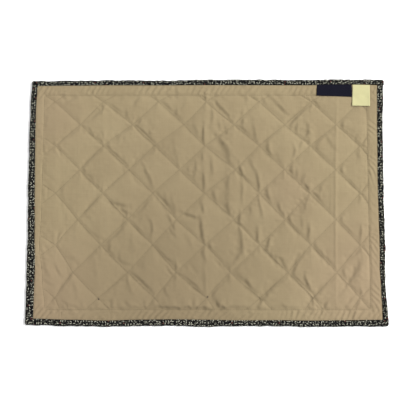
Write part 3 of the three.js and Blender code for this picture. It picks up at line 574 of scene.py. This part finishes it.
def panel_top(x, y, u, v):
    """Points of the panel's upper face: padded diamonds, creases and border, settled as cloth."""
    to_rise = from_line(u + v) * HALF_SPACING
    to_fall = from_line(u - v) * HALF_SPACING
    to_line = np.minimum(to_rise, to_fall)
    inside, to_rim = within_frame(x, y), within_rim(x, y)
    to_frame, outside = np.maximum(inside, 0.0), np.maximum(-inside, 0.0)
    diamond = DIAMOND_TURNS[0] * np.floor((u + v) / 2) + DIAMOND_TURNS[1] * np.floor((u - v) / 2)
    filling = 1.0 + FILLING_VARIES * np.sin(diamond) + uneven(x, y, FILLING_UNEVEN)
    filling *= by_x(FILLINGS, x)
    held_down = np.exp(-to_frame / FRAME_REACH)
    low = SEWN_HEIGHT + (FRAME_HEIGHT - SEWN_HEIGHT) * held_down
    rise = swell(rounded_nearest(to_rise, to_fall))
    quilt = low + (CROWN_HEIGHT - low) * filling * rise * (1.0 - held_down)
    border = FRAME_HEIGHT + (BORDER_HEIGHT - FRAME_HEIGHT) * (1.0 - np.exp(-outside / BORDER_REACH))
    border -= (BORDER_HEIGHT - RIM_TOP) * np.exp(-np.maximum(to_rim, 0.0) / RIM_EASE)
    padding = np.where(inside > 0, quilt, border)
    from_rim = smoothstep(to_rim / RIM_EASE)
    sewn = (1.0 - np.exp(-to_line / LINE_EASE)) * (1.0 - np.exp(-np.abs(inside) / FRAME_EASE)) * from_rim
    padding += sewn * crease_relief(x, y)
    padding = np.where(to_rim <= 0, RIM_TOP, padding)
    start = np.stack([x, y, padding + uneven(x, y, *START_UNEVEN) * sewn], -1)
    near_lines = np.exp(-np.minimum(to_line, np.abs(inside)) / SPARE_REACH)
    spare = SPARE_EVERYWHERE + SPARE_NEAR_LINES * near_lines * patches(x, y, *SPARE_PATCHES)
    on_line = (to_line < LINE_HELD) & (inside > -TOUCHING)
    held = on_line | (np.abs(inside) < FRAME_HELD) | (to_rim < RIM_HELD)
    top = settle(start, padding, spare, held.astype(float))
    top[..., 2] += sewn * (pucker_relief(x, y, u, v, to_rise, to_fall) + pressed_relief(x, y))
    loose = from_rim * clear_of_labels(x, y)
    top[..., 2] += border_relief(x, y, outside, to_rim) * loose
    top[..., 2] += (seam_relief(x, y, inside) + gather_relief(x, y)) * loose
    return top


def panel_underside(x, y, u, v):
    """Height of the panel's lower face: flat where it lies, drawn up a little along sewn lines."""
    to_line = np.minimum(from_line(u + v), from_line(u - v)) * HALF_SPACING
    inside = within_frame(x, y)
    to_line = np.where(inside > 0, np.minimum(to_line, inside), -inside)
    groove = GROOVE_DEPTH * np.exp(-to_line / GROOVE_REACH)
    return np.where(within_rim(x, y) <= UNDERSIDE_RIM, RIM_UNDER, groove)


def in_scene(name, data):
    """A new object in the scene."""
    holder = bpy.data.objects.new(name, data)
    bpy.context.scene.collection.objects.link(holder)
    return holder


def new_object(name, vertices_mm, faces):
    """A smooth-shaded object of a mesh in millimetres."""
    mesh = bpy.data.meshes.new(name)
    mesh.from_pydata((np.asarray(vertices_mm, float) * MM).tolist(), [], faces)
    mesh.update()
    mesh.polygons.foreach_set("use_smooth", [True] * len(mesh.polygons))
    return in_scene(name, mesh)


def lay_coordinates(piece, name, flat):
    """Give each vertex of a piece its place on the flat cloth, as texture coordinates."""
    layer = piece.data.uv_layers.new(name=name)
    corners = np.empty(len(piece.data.loops), int)
    piece.data.loops.foreach_get("vertex_index", corners)
    layer.data.foreach_set("uv", flat[corners].ravel())


def grid_faces(index, up):
    """Faces of a grid of point indices, seen from above or from below."""
    a, b, c, d = index[:-1, :-1], index[1:, :-1], index[1:, 1:], index[:-1, 1:]
    return np.stack([a, b, c, d] if up else [a, d, c, b], -1).reshape(-1, 4).tolist()


def boundary(index):
    """Indices round the rim of a grid of point indices, counter-clockwise from above."""
    runs = (index[:, 0], index[-1], index[::-1, -1], index[0, ::-1])
    return np.concatenate([run[:-1] for run in runs]).tolist()


def closed_sheet(name, upper, lower, every=1):
    """An object of two grids of points joined round their rims. The lower one may have fewer points."""
    index = np.arange(upper[..., 0].size).reshape(upper.shape[:2])
    under_index = index.size + np.arange(lower[..., 0].size).reshape(lower.shape[:2])
    faces = grid_faces(index, True) + grid_faces(under_index, False)
    over_rim, under_rim = boundary(index), boundary(under_index)
    for k, low in enumerate(under_rim):
        run = [over_rim[(every * k + s) % len(over_rim)] for s in range(every + 1)]
        faces += [[run[s], low, run[s + 1]] for s in range(every)]
        faces.append([run[-1], low, under_rim[(k + 1) % len(under_rim)]])
    return new_object(name, np.concatenate([upper.reshape(-1, 3), lower.reshape(-1, 3)]), faces)


def panel_piece():
    """The padded panel, and the points of its upper face."""
    grid = panel_grid()
    top = panel_top(*grid)
    coarse = [values[::UNDERSIDE_EVERY, ::UNDERSIDE_EVERY] for values in grid]
    under = np.stack([*coarse[:2], panel_underside(*coarse)], -1)
    return closed_sheet("quilted_panel_cloth", top, under, UNDERSIDE_EVERY), top


def sewn_lines(top):
    """Polylines on the panel's upper face along every quilting line and the frame."""
    pad_u, pad_v = BORDER_COLUMNS + RIM_STEPS, BORDER_ROWS + RIM_STEPS
    inner = top[pad_v:-pad_v, pad_u:-pad_u]
    rows, columns = inner.shape[:2]
    step, offset = 2 * STEPS, round(2 * MARGIN * STEPS)
    lines = []
    for total in range(offset, rows + columns, step):
        i = np.arange(max(0, total - rows + 1), min(columns, total + 1))
        lines.append(inner[total - i, i])
    for difference in range(-(rows // step) * step, columns, step):
        i = np.arange(max(0, difference), min(columns, rows + difference))
        lines.append(inner[i - difference, i])
    lines += [inner[0], inner[-1], inner[:, 0], inner[:, -1]]
    return [line for line in lines if len(line) > SHORTEST_LINE]


def stitches_piece(name, lines):
    """Separate stitches along lines, each a short spindle of thread with its ends in the cloth."""
    vertices, faces, to_end = [], [], []
    n, rings = THREAD_SIDES, len(STITCH_RINGS) - 2
    angles = np.arange(n) * 2 * np.pi / n
    up = np.array([0.0, 0.0, 1.0])
    for line in lines:
        length = np.concatenate([[0.0], np.cumsum(np.linalg.norm(np.diff(line, axis=0), axis=1))])
        for middle in np.arange(STITCH_PITCH, length[-1] - STITCH_PITCH / 2, STITCH_PITCH):
            ends = [np.array([np.interp(middle + s, length, line[:, k]) for k in range(3)])
                    for s in (-STITCH_LENGTH / 2, STITCH_LENGTH / 2)]
            centre, along = (ends[0] + ends[1]) / 2, (ends[1] - ends[0]) / 2
            side = np.array([-along[1], along[0], 0.0])
            side /= np.linalg.norm(side)
            base = len(vertices)
            for place, width, lift in STITCH_RINGS:
                point = centre + along * place + up * (STITCH_LIFT + THREAD_RADIUS * lift)
                spread = [side * math.cos(angle) + up * math.sin(angle) for angle in angles if width]
                vertices += [point + THREAD_RADIUS * width * radial for radial in spread] or [point]
                to_end += [abs(place)] * max(1, len(spread))
            last = base + 1 + rings * n
            for k in range(n):
                k2 = (k + 1) % n
                faces.append([base, base + 1 + k2, base + 1 + k])
                for p in range(base + 1, last - n, n):
                    faces.append([p + k, p + k2, p + n + k2, p + n + k])
                faces.append([last, last - n + k, last - n + k2])
    piece = new_object(name, vertices, faces)
    lay_coordinates(piece, "stitch", np.stack([to_end, np.zeros(len(to_end))], -1))
    return piece


def binding_section(cover, deep):
    """Closed section of a folded strip as (inset, height): outside of the fold, then inside."""
    radius = BINDING_TOP / 2
    turn = np.linspace(0, np.pi, FOLD_POINTS)
    fold = np.stack([radius - radius * np.sin(turn), radius - radius * np.cos(turn)], -1)
    leg = np.linspace(radius, cover, LEG_POINTS)[1:]
    share = (leg - radius) / (cover - radius)
    crown = BINDING_TOP - (BINDING_TOP - LEG_TOP) * share ** 3
    lower = np.stack([leg[::-1], np.zeros_like(leg)], -1)
    upper = np.stack([leg, crown], -1)
    inside = [np.array(points) + [inset, 0.0]
              for points, inset in ((UPPER_EDGE, cover), (SLOT, deep), (LOWER_EDGE, cover))]
    return np.concatenate([lower, fold, upper, *inside])


def binding_piece(side, butts, butt, laps):
    """A folded strip from where it butts against one neighbour to where it laps the next corner."""
    along, outer, half = (np.array(value, float) for value in SIDES[side])
    corner = outer.sum()
    butt_place = corner * reach(side, butt * SIDES[butts][2])
    lap_place = corner * reach(side, -butt * SIDES[laps][2])
    start = butt * float(inner_reach(butts, butt_place))
    end = -butt * float(reach(laps, lap_place))
    travel = math.copysign(1.0, end - start)
    count = round(abs(end - start) / SECTION_SPACING)
    places = np.linspace(start, end - travel * END_FROM, count)
    places = np.concatenate([places, end - travel * np.array(END_PLACES)])
    wobbles = uneven(places, np.full_like(places, half), *BINDING_WOBBLE)
    puffs = uneven(places, np.full_like(places, half), BINDING_PUFF)
    cut_from = STRIP_SPACING * list(SIDES).index(side)
    sections, coordinates = [], []
    for at, wobble, puff in zip(places, wobbles, puffs):
        out, cover = edge_values(side, at)
        from_end = abs(end - at)
        closed = from_end < END_WALL - 1e-6
        section = binding_section(cover, cover - END_SLOT if closed else CLOTH_THICKNESS)
        drawn = END_DRAWN * max(0.0, 1.0 - from_end / DRAWN_LENGTH) ** 2
        inset, height = section.T
        inset = inset + (drawn + wobble) * np.clip(1.0 - inset / cover, 0.0, 1.0)
        from_edge = smoothstep((cover + PUFF_EDGE - inset) / PUFF_EASE)
        height = height + puff * (smoothstep((height - PUFF_FROM) / PUFF_RISE) * from_edge)
        place = along * at + outer * (half + out - inset)[:, None]
        sections.append(np.concatenate([place, height[:, None]], 1))
        steps = np.linalg.norm(np.diff(section, axis=0), axis=1)
        across_cloth = np.concatenate([[0.0], np.cumsum(steps)]) + cut_from
        coordinates.append(np.stack([np.full(len(section), at), across_cloth], -1))
    index = np.arange(len(sections) * len(section)).reshape(len(sections), -1)
    faces = grid_faces(np.concatenate([index, index[:, :1]], 1), False)
    faces += [index[0, ::-1].tolist(), index[-1].tolist()]
    if travel * (along[0] * outer[1] - along[1] * outer[0]) < 0:
        faces = [face[::-1] for face in faces]
    piece = new_object(f"binding_{side}_cloth", np.concatenate(sections), faces)
    lay_coordinates(piece, "cloth", np.concatenate(coordinates) * MM)
    return piece


def label_piece(name, at_top, at_bottom, low_ends, thickness, lift, top_points):
    """A thin tape that leaves the binding's edge and lies over the quilting without its grooves."""
    top = float(min(inner_reach("top", at_top[0]), inner_reach("top", at_top[1]))) + LABEL_TUCK
    bottom = min(low_ends)
    columns = round((at_top[1] - at_top[0]) / LABEL_POINT_SPACING) + 1
    rows = round((top - bottom) / LABEL_POINT_SPACING) + 1
    across, hung = np.meshgrid(np.linspace(0.0, 1.0, columns), np.linspace(0.0, 1.0, rows))
    left = at_top[0] + (at_bottom[0] - at_top[0]) * hung
    right = at_top[1] + (at_bottom[1] - at_top[1]) * hung
    low = low_ends[0] + (low_ends[1] - low_ends[0]) * across
    x, y = left + (right - left) * across, top + (low - top) * hung
    px, py, pz = top_points.reshape(-1, 3).T
    near = (px > x.min() - LABEL_NEAR) & (px < x.max() + LABEL_NEAR) & (py > bottom - LABEL_NEAR)
    away = (px[near] - x[..., None]) ** 2 + (py[near] - y[..., None]) ** 2
    weight = np.exp(-away / LABEL_SMOOTHING ** 2)
    lying = (weight * pz[near]).sum(-1) / weight.sum(-1)
    from_binding = smoothstep((top - y) / LABEL_DROP)
    at_rim = RIM_TOP + LABEL_RIM_GAP
    under = at_rim + (lying + LABEL_GAP - at_rim) * from_binding
    under += lift * hung ** 3 + uneven(x, y, LABEL_UNEVEN) * from_binding
    edge = np.minimum.reduce([x - left, right - x, y - low])
    rounded = thickness / 4 * np.exp(-edge / LABEL_ROUNDING)
    lower = np.stack([x, y, under + rounded], -1)
    upper = np.stack([x, y, under + thickness - rounded], -1)
    return closed_sheet(f"{name}_tape", upper, lower)


class Shader:
    """A material's nodes: maths and textures are added one by one and linked as they are made."""

    def __init__(self, name, **constants):
        self.material = bpy.data.materials.new(name)
        self.material.use_nodes = True
        self.tree = self.material.node_tree
        self.principled = self.tree.nodes["Principled BSDF"]
        for socket, value in constants.items():
            self.principled.inputs[socket.replace("_", " ")].default_value = value

    def feed(self, socket, value):
        if isinstance(value, bpy.types.NodeSocket):
            self.tree.links.new(value, socket)
        else:
            socket.default_value = value

    def node(self, kind, inputs, output=0, **settings):
        """One output of a new node, or all of them. Inputs are given by name or by number."""
        node = self.tree.nodes.new(kind)
        for key, value in settings.items():
            setattr(node, key, value)
        for key, value in inputs.items():
            self.feed(node.inputs[key], value)
        return node.outputs if output is None else node.outputs[output]

    def maths(self, operation, a, b=0.0):
        return self.node("ShaderNodeMath", {0: a, 1: b}, operation=operation)

    def plus(self, a, b):
        return self.maths("ADD", a, b)

    def times(self, a, b):
        return self.maths("MULTIPLY", a, b)

    def vector(self, operation, a, b=(0.0, 0.0, 0.0), output=0):
        return self.node("ShaderNodeVectorMath", {0: a, 1: b}, output, operation=operation)

    def scaled(self, vector, factors):
        return self.vector("MULTIPLY", vector, factors)

    def parts(self, vector):
        return self.node("ShaderNodeSeparateXYZ", {0: vector}, None)

    def above(self, value, low, high):
        """0 at low, 1 at high, eased between."""
        inputs = {"Value": value, 1: low, 2: high}
        return self.node("ShaderNodeMapRange", inputs, interpolation_type="SMOOTHSTEP")

    def mix(self, share, a, b):
        return self.node("ShaderNodeMix", {0: share, 6: a, 7: b}, 2, data_type="RGBA")

    def noise(self, vector, scale=1.0, detail=2.0):
        return self.node("ShaderNodeTexNoise", {"Vector": vector, "Scale": scale, "Detail": detail})

    def use(self, color, bump=None, depth=0.0):
        """The material with a colour, and with a bump of a depth in millimetres."""
        self.feed(self.principled.inputs["Base Color"], color)
        if bump is not None:
            inputs = {"Strength": 1.0, "Distance": depth * MM, "Height": bump}
            self.feed(self.principled.inputs["Normal"], self.node("ShaderNodeBump", inputs))
        return self.material


def in_millimetres(shader, output="Object"):
    """Place on a piece, or on its flat cloth, in millimetres."""
    return shader.scaled(shader.node("ShaderNodeTexCoord", {}, output), (1 / MM,) * 3)


def plain_weave(shader, place):
    """Height of a plain weave: threads across and along, over and under by turns."""
    x, y, _ = shader.parts(shader.scaled(place, (math.pi / WEAVE_PITCH,) * 3))
    return shader.times(shader.maths("SINE", x), shader.maths("SINE", y))


def streaks(shader, place, along, across):
    """Uneven threads both ways: noise of one scale along them and another across."""
    level = shader.noise(shader.scaled(place, (along, across, 0.0)))
    return shader.plus(level, shader.noise(shader.scaled(place, (across, along, 0.0))))


# Backing cotton: weave, scales of yarns and slubs along and across, mottle, and shares of the tone.
WEAVE_PITCH, WEAVE_DEPTH = 0.42, 0.06
YARNS, SLUBS = (0.05, 2.2), (0.035, 0.6)
MOTTLE, YARN_HEIGHT = (0.018, 3.0), 1.2
YARN_TONE, MOTTLE_TONE, SLUB_TONE, TONE_RANGE = 0.35, 0.7, 0.24, (0.65, 1.24)
TAN_LIGHT = (0.233, 0.186, 0.107, 1.0)
TAN_DARK = (0.199, 0.155, 0.088, 1.0)
TAN_ROSY = (0.229, 0.170, 0.106, 1.0)
# A darker tan for painted shade, where the light is weaker.
TAN_PAINTED_SHADE = (0.169, 0.130, 0.075, 1.0)
# Faint rosier tinge of the cloth, and painted shade where the light falls off, darker towards the bottom and
# the middle: middle, radius and amount.
TINGES = ((-215.0, -145.0, 140.0, 0.95), (215.0, -110.0, 150.0, 0.7), (-60.0, -165.0, 110.0, 0.6),
          (110.0, 10.0, 60.0, 0.4), (-215.0, 120.0, 80.0, 0.4))
PAINTED_SHADES = ((-75.0, -105.0, 150.0, 0.5), (-50.0, 20.0, 120.0, 0.2), (70.0, -50.0, 160.0, 0.3),
          (-40.0, -20.0, 250.0, 0.30), (-40.0, -195.0, 230.0, 0.85), (27.0, 64.0, 75.0, 0.22),
          (-195.0, -145.0, 80.0, 0.3))
# Dark specks: middle and radius, and the shares of the radius between which their edge fades.
SPECKS = ((-144.3, -131.5, 1.35), (0.8, -128.6, 1.25))
SPECK_COLOR = (0.046, 0.034, 0.025, 1.0)
SPECK_EDGE = (0.5, 1.3)


def tan_cloth():
    """Plain-woven cotton with uneven yarns, faint tinges, painted shade where the light falls off, and two
    dark specks.
    """
    shader = Shader("backing_cotton", Roughness=0.9, Specular_IOR_Level=0.15, Sheen_Weight=0.08,
                    Sheen_Roughness=0.5)
    place = in_millimetres(shader)
    yarns, slubs = streaks(shader, place, *YARNS), streaks(shader, place, *SLUBS)
    mottle = shader.noise(place, *MOTTLE)
    tone = shader.plus(shader.times(yarns, YARN_TONE), shader.times(mottle, MOTTLE_TONE))
    tone = shader.plus(tone, shader.times(slubs, SLUB_TONE))
    color = shader.mix(shader.above(tone, *TONE_RANGE), TAN_DARK, TAN_LIGHT)
    level = shader.scaled(place, (1.0, 1.0, 0.0))
    # The tinges tint the cloth's own tone; the shade patches are painted shade where the light falls off.
    for spots, tone_or_painted_shade in ((TINGES, TAN_ROSY), (PAINTED_SHADES, TAN_PAINTED_SHADE)):
        for x, y, radius, amount in spots:
            away = shader.vector("DISTANCE", level, (x, y, 0.0), output=1)
            color = shader.mix(shader.times(shader.above(away, radius, 0.0), amount), color, tone_or_painted_shade)
    for x, y, radius in SPECKS:
        away = shader.vector("DISTANCE", level, (x, y, 0.0), output=1)
        color = shader.mix(shader.above(away, *(radius * share for share in SPECK_EDGE)), SPECK_COLOR, color)
    height = shader.plus(plain_weave(shader, place), shader.times(yarns, YARN_HEIGHT))
    return shader.use(color, height, WEAVE_DEPTH)


GROUND = (0.0020, 0.0020, 0.0023, 1.0)
LEAF_PALE = (0.370, 0.365, 0.290, 1.0)
LEAF_GREY = (0.050, 0.050, 0.039, 1.0)
BERRY_RED = (0.110, 0.035, 0.027, 1.0)
# Sizes of the print's motifs.
PRINT_PITCH, PRINT_SCATTER = 3.5, 0.65
LEAF_HALF_LENGTH, LEAF_HALF_WIDTH = 1.75, 0.48
CURL_RADIUS, BERRY_RADIUS = 1.0, 0.65
STEM_PITCH, STEM_WANDER = 5.5, 0.4
# Their soft edges, each from where it is bare to where it is fully printed.
LEAF_EDGE, RIB_EDGE, STEM_EDGE = (-0.05, 0.12), (0.03, 0.12), (0.045, 0.02)
CURL_EDGE, CURL_OPENING = (0.3, 0.16), (-0.5, -0.2)
BERRY_EDGE = (BERRY_RADIUS + 0.1, BERRY_RADIUS - 0.05)
# Chances below which a motif is a leaf, above which it is a berry and a berry is red, and from grey
# to pale. Then the strength of a leaf's rib and of a stem.
LEAF_BELOW, BERRY_ABOVE, RED_ABOVE, PALENESS = 0.75, 0.9, 0.45, (-0.25, 0.9)
RIB_TONE, STEM_TONE = 0.35, 0.75


def print_cloth():
    """Dark cotton with a small all-over print of leaves, curls, berries and thin stems."""
    shader = Shader("binding_cotton", Roughness=0.9, Specular_IOR_Level=0.08)
    place = in_millimetres(shader, "UV")
    inputs = {"Vector": place, "Scale": 1 / PRINT_PITCH, "Randomness": PRINT_SCATTER}
    cells = shader.node("ShaderNodeTexVoronoi", inputs, None, voronoi_dimensions="2D")
    turning, kind, shade = shader.parts(cells["Color"])
    offset = shader.vector("SUBTRACT", place, cells["Position"])
    inputs = {"Vector": offset, "Angle": shader.times(turning, 2 * math.pi)}
    local = shader.node("ShaderNodeVectorRotate", inputs, rotation_type="Z_AXIS")
    along, across, _ = shader.parts(local)
    from_rib = shader.maths("ABSOLUTE", across)
    bow = shader.times(shader.times(along, along), LEAF_HALF_WIDTH / LEAF_HALF_LENGTH ** 2)
    pointed = shader.maths("SUBTRACT", LEAF_HALF_WIDTH, bow)
    leaf = shader.above(shader.maths("SUBTRACT", pointed, from_rib), *LEAF_EDGE)
    off_rib = shader.times(shader.above(from_rib, *RIB_EDGE), 1.0 - RIB_TONE)
    leaf = shader.times(leaf, shader.plus(RIB_TONE, off_rib))
    radius = shader.vector("LENGTH", shader.scaled(local, (1.0, 1.0, 0.0)), output=1)
    from_ring = shader.maths("ABSOLUTE", shader.maths("SUBTRACT", radius, CURL_RADIUS))
    curl = shader.times(shader.above(from_ring, *CURL_EDGE), shader.above(across, *CURL_OPENING))
    berry = shader.above(radius, *BERRY_EDGE)
    is_leaf = shader.maths("LESS_THAN", kind, LEAF_BELOW)
    is_berry = shader.maths("GREATER_THAN", kind, BERRY_ABOVE)
    motif = shader.mix(is_berry, shader.mix(is_leaf, curl, leaf), berry)
    pale = shader.mix(shader.above(shade, *PALENESS), LEAF_GREY, LEAF_PALE)
    red_berry = shader.times(is_berry, shader.maths("GREATER_THAN", shade, RED_ABOVE))
    paint = shader.mix(red_berry, pale, BERRY_RED)
    bent = shader.vector("ADD", place, shader.noise(place, STEM_WANDER))
    inputs = {"Vector": bent, "Scale": 1 / STEM_PITCH}
    to_stem = shader.node("ShaderNodeTexVoronoi", inputs, "Distance", voronoi_dimensions="2D",
                          feature="DISTANCE_TO_EDGE")
    stem = shader.above(to_stem, *STEM_EDGE)
    color = shader.mix(shader.times(stem, STEM_TONE), GROUND, LEAF_GREY)
    return shader.use(shader.mix(motif, color, paint), plain_weave(shader, place), WEAVE_DEPTH)


# Thread: tones, painted shade of its needle holes and the place along a stitch where that shade comes in,
# scale of its tone, and twist.
THREAD_DARK = (0.130, 0.101, 0.057, 1.0)
THREAD_LIGHT = (0.190, 0.150, 0.087, 1.0)
NEEDLE_HOLE_SHADE = (0.020, 0.015, 0.008, 1.0)
HOLE_SHADE_EDGE, THREAD_TONES = (0.4, 0.8), 1.4
TWIST, TWIST_DEPTH = (9.0, 9.0, 14.0), 0.05


def thread():
    """Sewing thread, with painted shade where each stitch goes down into its needle hole."""
    shader = Shader("quilting_thread", Roughness=0.7, Specular_IOR_Level=0.3)
    place = in_millimetres(shader)
    color = shader.mix(shader.noise(place, THREAD_TONES), THREAD_DARK, THREAD_LIGHT)
    to_end = shader.parts(shader.node("ShaderNodeTexCoord", {}, "UV"))[0]
    # Painted shade at both ends of each stitch, where it goes down into the cloth.
    color = shader.mix(shader.above(to_end, *HOLE_SHADE_EDGE), color, NEEDLE_HOLE_SHADE)
    twist = shader.maths("SINE", shader.vector("DOT_PRODUCT", place, TWIST, output=1))
    return shader.use(color, twist, TWIST_DEPTH)


# Label tapes: material, slot, darker and lighter yarn, rib pitch, roughness and shine.
TAPES = (
    ("dark_label_weave", "dark_label_tape", (0.0015, 0.0015, 0.006, 1.0), (0.004, 0.004, 0.010, 1.0),
     0.5, 0.7, 0.08),
    ("cream_label_weave", "cream_label_tape", (0.380, 0.359, 0.185, 1.0), (0.430, 0.405, 0.216, 1.0),
     0.35, 0.6, 0.2),
)
TAPE_YARN, TAPE_YARN_HEIGHT = 0.6, 0.5  # pitch and height of the yarns to those of the ribs
TAPE_TONES, TAPE_DEPTH = (0.3, 3.0, 0.0), 0.04


def tape(name, dark, light, rib_pitch, roughness, shine):
    """Close-woven label tape: fine ribs across, with yarns of slightly different tone."""
    shader = Shader(name, Roughness=roughness, Specular_IOR_Level=shine)
    place = in_millimetres(shader)
    x, y, _ = shader.parts(place)
    ribs = shader.maths("SINE", shader.times(y, 2 * math.pi / rib_pitch))
    yarns = shader.maths("SINE", shader.times(x, 2 * math.pi / (TAPE_YARN * rib_pitch)))
    color = shader.mix(shader.noise(shader.scaled(place, TAPE_TONES)), dark, light)
    return shader.use(color, shader.plus(ribs, shader.times(yarns, TAPE_YARN_HEIGHT)), TAPE_DEPTH)


def dress(piece, material, slot, *nodes):
    """Give a piece its material and body, and hide the imported parts that it stands for. The slot is not
    used.
    """
    piece.data.materials.append(material)
    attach(piece, BODY)
    if nodes:
        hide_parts(*nodes)


def make_camera():
    elevation = math.radians(CAMERA_ELEVATION)
    camera = bpy.data.cameras.new("camera")
    camera.sensor_width = SENSOR_WIDTH
    camera.sensor_fit = "HORIZONTAL"
    camera.lens = SENSOR_WIDTH * FOCAL_PIXELS / IMAGE_PIXELS
    holder = in_scene("camera", camera)
    back = Vector((0.0, -math.cos(elevation), math.sin(elevation)))
    holder.location = Vector(CAMERA_AIM) + CAMERA_DISTANCE * back
    holder.rotation_euler = (math.pi / 2 - elevation, 0.0, 0.0)
    bpy.context.scene.camera = holder


def make_key():
    azimuth, elevation = math.radians(KEY_AZIMUTH), math.radians(KEY_ELEVATION)
    level = KEY_DISTANCE * math.cos(elevation)
    place = Vector((level * math.cos(azimuth), level * math.sin(azimuth), KEY_DISTANCE * math.sin(elevation)))
    light = bpy.data.lights.new("key", "AREA")
    light.shape = "DISK"
    light.size = KEY_SIZE
    light.energy = KEY_POWER
    holder = in_scene("key", light)
    holder.location = place
    holder.rotation_euler = (-place).to_track_quat("-Z", "Y").to_euler()


def make_studio():
    scene = bpy.context.scene
    scene.view_settings.view_transform = "Standard"
    world = bpy.data.worlds.new("studio")
    world.use_nodes = True
    background = world.node_tree.nodes["Background"]
    background.inputs["Color"].default_value = (1.0, 1.0, 1.0, 1.0)
    background.inputs["Strength"].default_value = SURROUND
    scene.world = world
    make_key()
    bpy.ops.mesh.primitive_grid_add(x_subdivisions=2, y_subdivisions=2, size=FLOOR_SIZE,
                                    location=(0, 0, FLOOR_HEIGHT))
    floor = bpy.context.active_object
    floor.name = "floor"
    shader = Shader("floor_paper", Roughness=0.9)
    tone = shader.noise(in_millimetres(shader), FLOOR_GRAIN)
    floor.data.materials.append(shader.use(shader.mix(tone, FLOOR_PALE, FLOOR_WHITE)))


make_camera()
make_studio()

panel, panel_points = panel_piece()
dress(panel, tan_cloth(), "backing_cloth", "quilted_panel")
sewing = stitches_piece("quilting_stitches", sewn_lines(panel_points))
dress(sewing, thread(), "backing_cloth")

binding_material = print_cloth()
for strip in STRIPS:
    binding = binding_piece(*strip)
    dress(binding, binding_material, "binding_print", f"binding_{strip[0]}")

for label, (weave, slot, *look) in zip(LABELS, TAPES):
    piece = label_piece(*label, panel_points)
    dress(piece, tape(weave, *look), slot, label[0])
